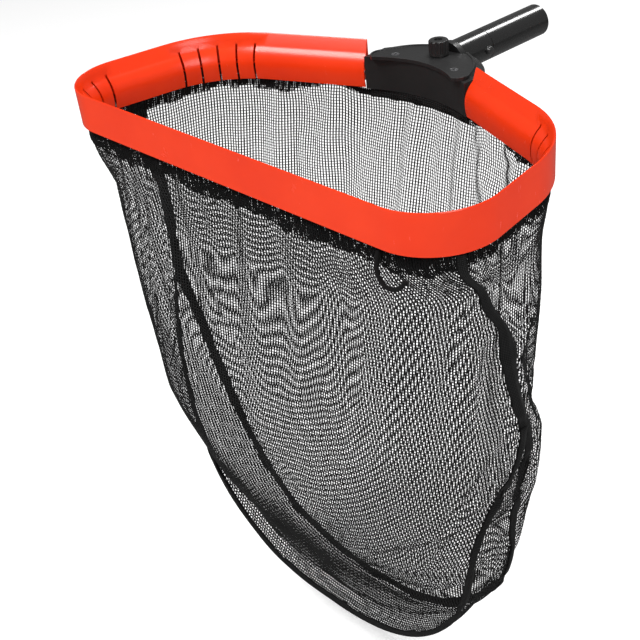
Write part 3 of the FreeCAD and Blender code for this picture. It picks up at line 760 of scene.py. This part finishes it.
def dress(node, name, bevel):
    """The CAD node's own shape with welded faces, soft edges and smooth shading."""
    mesh = frame["nodes"][node].data.copy()
    mesh.materials.clear()
    bm = bmesh.new()
    bm.from_mesh(mesh)
    bmesh.ops.remove_doubles(bm, verts=bm.verts, dist=2e-6)
    bmesh.ops.dissolve_limit(bm, angle_limit=math.radians(0.6), verts=bm.verts, edges=bm.edges)
    bmesh.ops.recalc_face_normals(bm, faces=bm.faces)
    for face in bm.faces:
        face.smooth = True
    for edge in bm.edges:
        if len(edge.link_faces) == 2:
            edge.smooth = edge.calc_face_angle() < SHARP
    bm.to_mesh(mesh)
    bm.free()
    obj = bpy.data.objects.new(name, mesh)
    bpy.context.scene.collection.objects.link(obj)
    mod = obj.modifiers.new("edges", "BEVEL")
    mod.width = bevel / 1000.0
    mod.segments = 3
    mod.limit_method = "ANGLE"
    mod.angle_limit = SHARP
    mod.harden_normals = True
    mod.use_clamp_overlap = True
    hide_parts(node)
    return obj


record = frame["record"]
slots = {s["node"]: s["material_slot"] for s in record["subparts"]}
home = {n: b for b, nodes in record["behaviour"]["bodies"].items() for n in nodes}

# Node: name of the visible piece, and its edge rounding
dressed = {
    "edge_guard": ("guard_edge", 0.35),
    "yoke_body": ("yoke_moulding", 0.9),
    "yoke_cover": ("cover_plate", 0.45),
    "clamp_knob": ("hand_knob", 0.45),
    "handle_tube": ("pole_spigot", 0.5),
    "knob_washer": ("washer", 0.15),
    "cover_screws": ("screws", 0.12),
    "left_button": ("button_left", 0.2),
    "right_button": ("button_right", 0.2),
}
shown = {}
for node, (name, bevel) in dressed.items():
    shown[node] = dress(node, name, bevel)


# ---------------------------------------------------------------- materials

def new_material(name):
    m = bpy.data.materials.new(name)
    m.use_nodes = True
    return m, m.node_tree, m.node_tree.nodes["Principled BSDF"]


def set_inputs(n, **values):
    """Set a node's inputs by name, with _ for a space."""
    for key, value in values.items():
        n.inputs[key.replace("_", " ")].default_value = value


def combine(nt, operation, *inputs):
    """Math on sockets or plain numbers."""
    n = nt.nodes.new("ShaderNodeMath")
    n.operation = operation
    for socket, value in zip(n.inputs, inputs):
        if isinstance(value, float):
            socket.default_value = value
        else:
            nt.links.new(value, socket)
    return n.outputs[0]


def coords(nt, kind="Object", scale=(1, 1, 1)):
    place = nt.nodes.new("ShaderNodeTexCoord")
    scaled = nt.nodes.new("ShaderNodeMapping")
    set_inputs(scaled, Scale=scale)
    nt.links.new(place.outputs[kind], scaled.inputs["Vector"])
    return scaled.outputs["Vector"]


def noise(nt, vec, scale, detail, rough=0.55):
    n = nt.nodes.new("ShaderNodeTexNoise")
    set_inputs(n, Scale=scale, Detail=detail, Roughness=rough)
    nt.links.new(vec, n.inputs["Vector"])
    return n.outputs["Fac"]


def ramp(nt, fac, stops):
    r = nt.nodes.new("ShaderNodeValToRGB")
    els = r.color_ramp.elements
    while len(els) < len(stops):
        els.new(0.5)
    for e, (pos, col) in zip(els, stops):
        e.position = pos
        e.color = (*col, 1.0)
    nt.links.new(fac, r.inputs["Fac"])
    return r.outputs["Color"]


def grey(v):
    return (v, v, v)


def bump(nt, height, bsdf, strength, distance):
    b = nt.nodes.new("ShaderNodeBump")
    set_inputs(b, Strength=strength, Distance=distance)
    nt.links.new(height, b.inputs["Height"])
    nt.links.new(b.outputs["Normal"], bsdf.inputs["Normal"])


def plastic(name, tones, rough, grain_scale, grain_depth, coat=0.0, spec=0.5, streak=0.0, wear=1.0):
    """Moulded plastic with a fine grain, drawn-out scuffs and a slightly uneven colour."""
    m, nt, bsdf = new_material(name)
    vec = coords(nt)
    cloud = noise(nt, vec, 14.0, 3.0)
    nt.links.new(ramp(nt, cloud, [(0.3, tones[0]), (0.7, tones[1])]), bsdf.inputs["Base Color"])
    grain = noise(nt, vec, grain_scale, 5.0, 0.6)
    scuff = noise(nt, coords(nt, scale=(60, 420, 60)), 1.0, 6.0, 0.7)
    smooth, worn = grey(rough * (1 - 0.15 * wear)), grey(rough * (1 + 0.3 * wear))
    nt.links.new(ramp(nt, scuff, [(0.35, smooth), (0.75, worn)]), bsdf.inputs["Roughness"])
    set_inputs(bsdf, Coat_Weight=coat, Coat_Roughness=0.12, Specular_IOR_Level=spec)
    bump(nt, combine(nt, "ADD", grain, combine(nt, "MULTIPLY", scuff, streak)), bsdf, 0.35, grain_depth)
    return m


def metal(name, colour, rough, scale=(200, 200, 200)):
    """Metal with fine lines; scale stretches them along the direction in which it was drawn."""
    m, nt, bsdf = new_material(name)
    lines = noise(nt, coords(nt, scale=scale), 3.0, 6.0, 0.7)
    for socket, low, high in (("Base Color", tuple(c * 0.75 for c in colour), colour),
                              ("Roughness", grey(rough * 0.7), grey(rough * 1.3))):
        nt.links.new(ramp(nt, lines, [(0.3, low), (0.7, high)]), bsdf.inputs[socket])
    set_inputs(bsdf, Metallic=1.0)
    bump(nt, lines, bsdf, 0.2, 0.00005)
    return m


def thread_material():
    m, nt, bsdf = new_material("net_thread")
    vec = coords(nt)
    tone = noise(nt, vec, 35.0, 3.0)
    nt.links.new(ramp(nt, tone, [(0.3, grey(0.004)), (0.7, grey(0.012))]), bsdf.inputs["Base Color"])
    set_inputs(bsdf, Roughness=0.7, Specular_IOR_Level=0.25, Sheen_Weight=0.03, Sheen_Roughness=0.4)
    bump(nt, noise(nt, vec, 2600.0, 2.0), bsdf, 0.5, 0.0002)
    return m


def ribs(nt, vec, period, direction):
    """Bands a period apart, in metres; Blender's wave texture repeats every pi / 10 at scale 1."""
    w = nt.nodes.new("ShaderNodeTexWave")
    w.bands_direction = direction
    set_inputs(w, Scale=math.pi / 10 / period, Distortion=0.6, Detail=1.0, Detail_Scale=1.5)
    nt.links.new(vec, w.inputs["Vector"])
    return w.outputs["Fac"]


def woven(name, dark, light, period_across, period_along, depth):
    """Knitted or woven strip: ribs across the width and along the length in the strip's own map."""
    m, nt, bsdf = new_material(name)
    vec = coords(nt, "UV")
    weave = combine(nt, "MULTIPLY", ribs(nt, vec, period_across, "X"), ribs(nt, vec, period_along, "Y"))
    tone = combine(nt, "MULTIPLY_ADD", noise(nt, coords(nt), 60.0, 3.0), 0.35, weave)
    nt.links.new(ramp(nt, tone, [(0.25, dark), (0.95, light)]), bsdf.inputs["Base Color"])
    set_inputs(bsdf, Roughness=0.85, Specular_IOR_Level=0.2, Sheen_Weight=0.02)
    bump(nt, weave, bsdf, 0.8, depth)
    return m


ORANGE, DEEP_ORANGE = (0.85, 0.041, 0.003), (0.78, 0.032, 0.002)
DRAWN = (300, 8, 300)
paint = {
    "orange_plastic": plastic("orange_edge", (DEEP_ORANGE, ORANGE), 0.26, 900.0, 0.000003,
                              spec=0.38, coat=0.08, wear=0.25),
    "black_plastic": plastic("black_moulded", (grey(0.012), grey(0.018)), 0.36, 1500.0, 0.00010,
                             spec=0.6, streak=0.2),
    "handle_plastic": plastic("black_gloss", (grey(0.007), grey(0.011)), 0.20, 1200.0, 0.00008,
                              spec=0.8, coat=0.5, streak=0.4),
    "button_plastic": plastic("button_gloss", (grey(0.02), grey(0.03)), 0.22, 1200.0, 0.00004, coat=0.4),
    "washer_plastic": plastic("washer_plain", (grey(0.03), grey(0.04)), 0.5, 1500.0, 0.00006),
    "frame_aluminium": metal("drawn_aluminium", (0.78, 0.79, 0.80), 0.32, DRAWN),
    "screw_steel": metal("zinc_steel", (0.35, 0.35, 0.36), 0.38),
    "spring_steel": metal("spring_strip", (0.55, 0.56, 0.58), 0.28, DRAWN),
    "insert_brass": metal("turned_brass", (0.72, 0.52, 0.22), 0.3),
    "net_mesh": thread_material(),
    "hem_fabric": woven("hem_knit", grey(0.003), grey(0.016), 0.0021, 0.0026, 0.0006),
    "tape_fabric": woven("tape_weave", grey(0.003), grey(0.018), 0.0012, 0.0016, 0.0004),
}


def paint_with(obj, slot_name):
    obj.data.materials.clear()
    obj.data.materials.append(paint[slot_name])


for pieces, slot_name in ((nets, "net_mesh"), (tapes, "tape_fabric"), (hems, "hem_fabric")):
    for obj in pieces:
        paint_with(obj, slot_name)
        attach(obj, "frame")
for node, obj in shown.items():
    paint_with(obj, slots[node])
    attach(obj, home[node])
for node, obj in frame["nodes"].items():
    paint_with(obj, slots[node])


# ---------------------------------------------------------------- stage, light and camera

def area_light(name, place, aim, size, power):
    data = bpy.data.lights.new(name, "AREA")
    data.shape = "DISK"
    data.size = size
    data.energy = power
    obj = bpy.data.objects.new(name, data)
    bpy.context.scene.collection.objects.link(obj)
    obj.location = place
    obj.rotation_euler = (Vector(aim) - Vector(place)).to_track_quat("-Z", "Y").to_euler()


def by_ray(nt, ray, plain, seen):
    """A value that is `seen` for one kind of ray and `plain` for the others."""
    path = nt.nodes.new("ShaderNodeLightPath")
    level = nt.nodes.new("ShaderNodeMapRange")
    set_inputs(level, To_Min=plain, To_Max=seen)
    nt.links.new(path.outputs[ray], level.inputs["Value"])
    return level.outputs["Result"]


def pale_floor():
    """Plain pale floor that shows only darkly in the object's own reflections."""
    corners = [(x, y, FLOOR_Z) for x, y in ((-6, -6), (6, -6), (6, 6), (-6, 6))]
    floor = mesh_object("floor", corners, np.array([[0, 1, 2, 3]]))
    m, nt, bsdf = new_material("pale_floor")
    set_inputs(bsdf, Roughness=0.9, Emission_Color=(1, 1, 1, 1))
    nt.links.new(by_ray(nt, "Is Glossy Ray", 0.9, 0.12), bsdf.inputs["Base Color"])
    nt.links.new(by_ray(nt, "Is Glossy Ray", 0.30, 0.0), bsdf.inputs["Emission Strength"])
    floor.data.materials.append(m)


def white_room():
    """White background, weaker as a light than as it is seen, and weaker again in reflections."""
    world = bpy.data.worlds.new("room")
    bpy.context.scene.world = world
    world.use_nodes = True
    nt = world.node_tree
    sky = nt.nodes["Background"]
    set_inputs(sky, Color=(1, 1, 1, 1))
    seen, mirrored = by_ray(nt, "Is Camera Ray", 0.40, 1.0), by_ray(nt, "Is Glossy Ray", 1.0, 0.45)
    nt.links.new(combine(nt, "MULTIPLY", seen, mirrored), sky.inputs["Strength"])


FLOOR_Z = -0.545
pale_floor()
white_room()
area_light("key", (-0.6, -1.6, 1.9), (0, -0.25, -0.1), 0.9, 40)
area_light("fill", (1.9, -0.9, 1.2), (0, -0.25, -0.15), 1.2, 18)
area_light("top", (0.2, 0.4, 2.2), (0, -0.25, -0.1), 0.8, 30)
area_light("rim", (-0.16, 1.1, 1.1), (0, -0.05, 0), 0.4, 5)
bpy.context.scene.view_settings.view_transform = "Standard"

CAMERA_PLACE = (0.7317, -0.8978, 0.4012)
CAMERA_ANGLES = (58.431, 5.756, 47.011)             # degrees about x, y and z
cam_data = bpy.data.cameras.new("camera")
cam_data.lens = 72.62
cam_data.sensor_width = 36.0
camera = bpy.data.objects.new("camera", cam_data)
bpy.context.scene.collection.objects.link(camera)
turn = Euler([math.radians(a) for a in CAMERA_ANGLES]).to_matrix().to_4x4()
camera.matrix_world = Matrix.Translation(CAMERA_PLACE) @ turn
bpy.context.scene.camera = camera
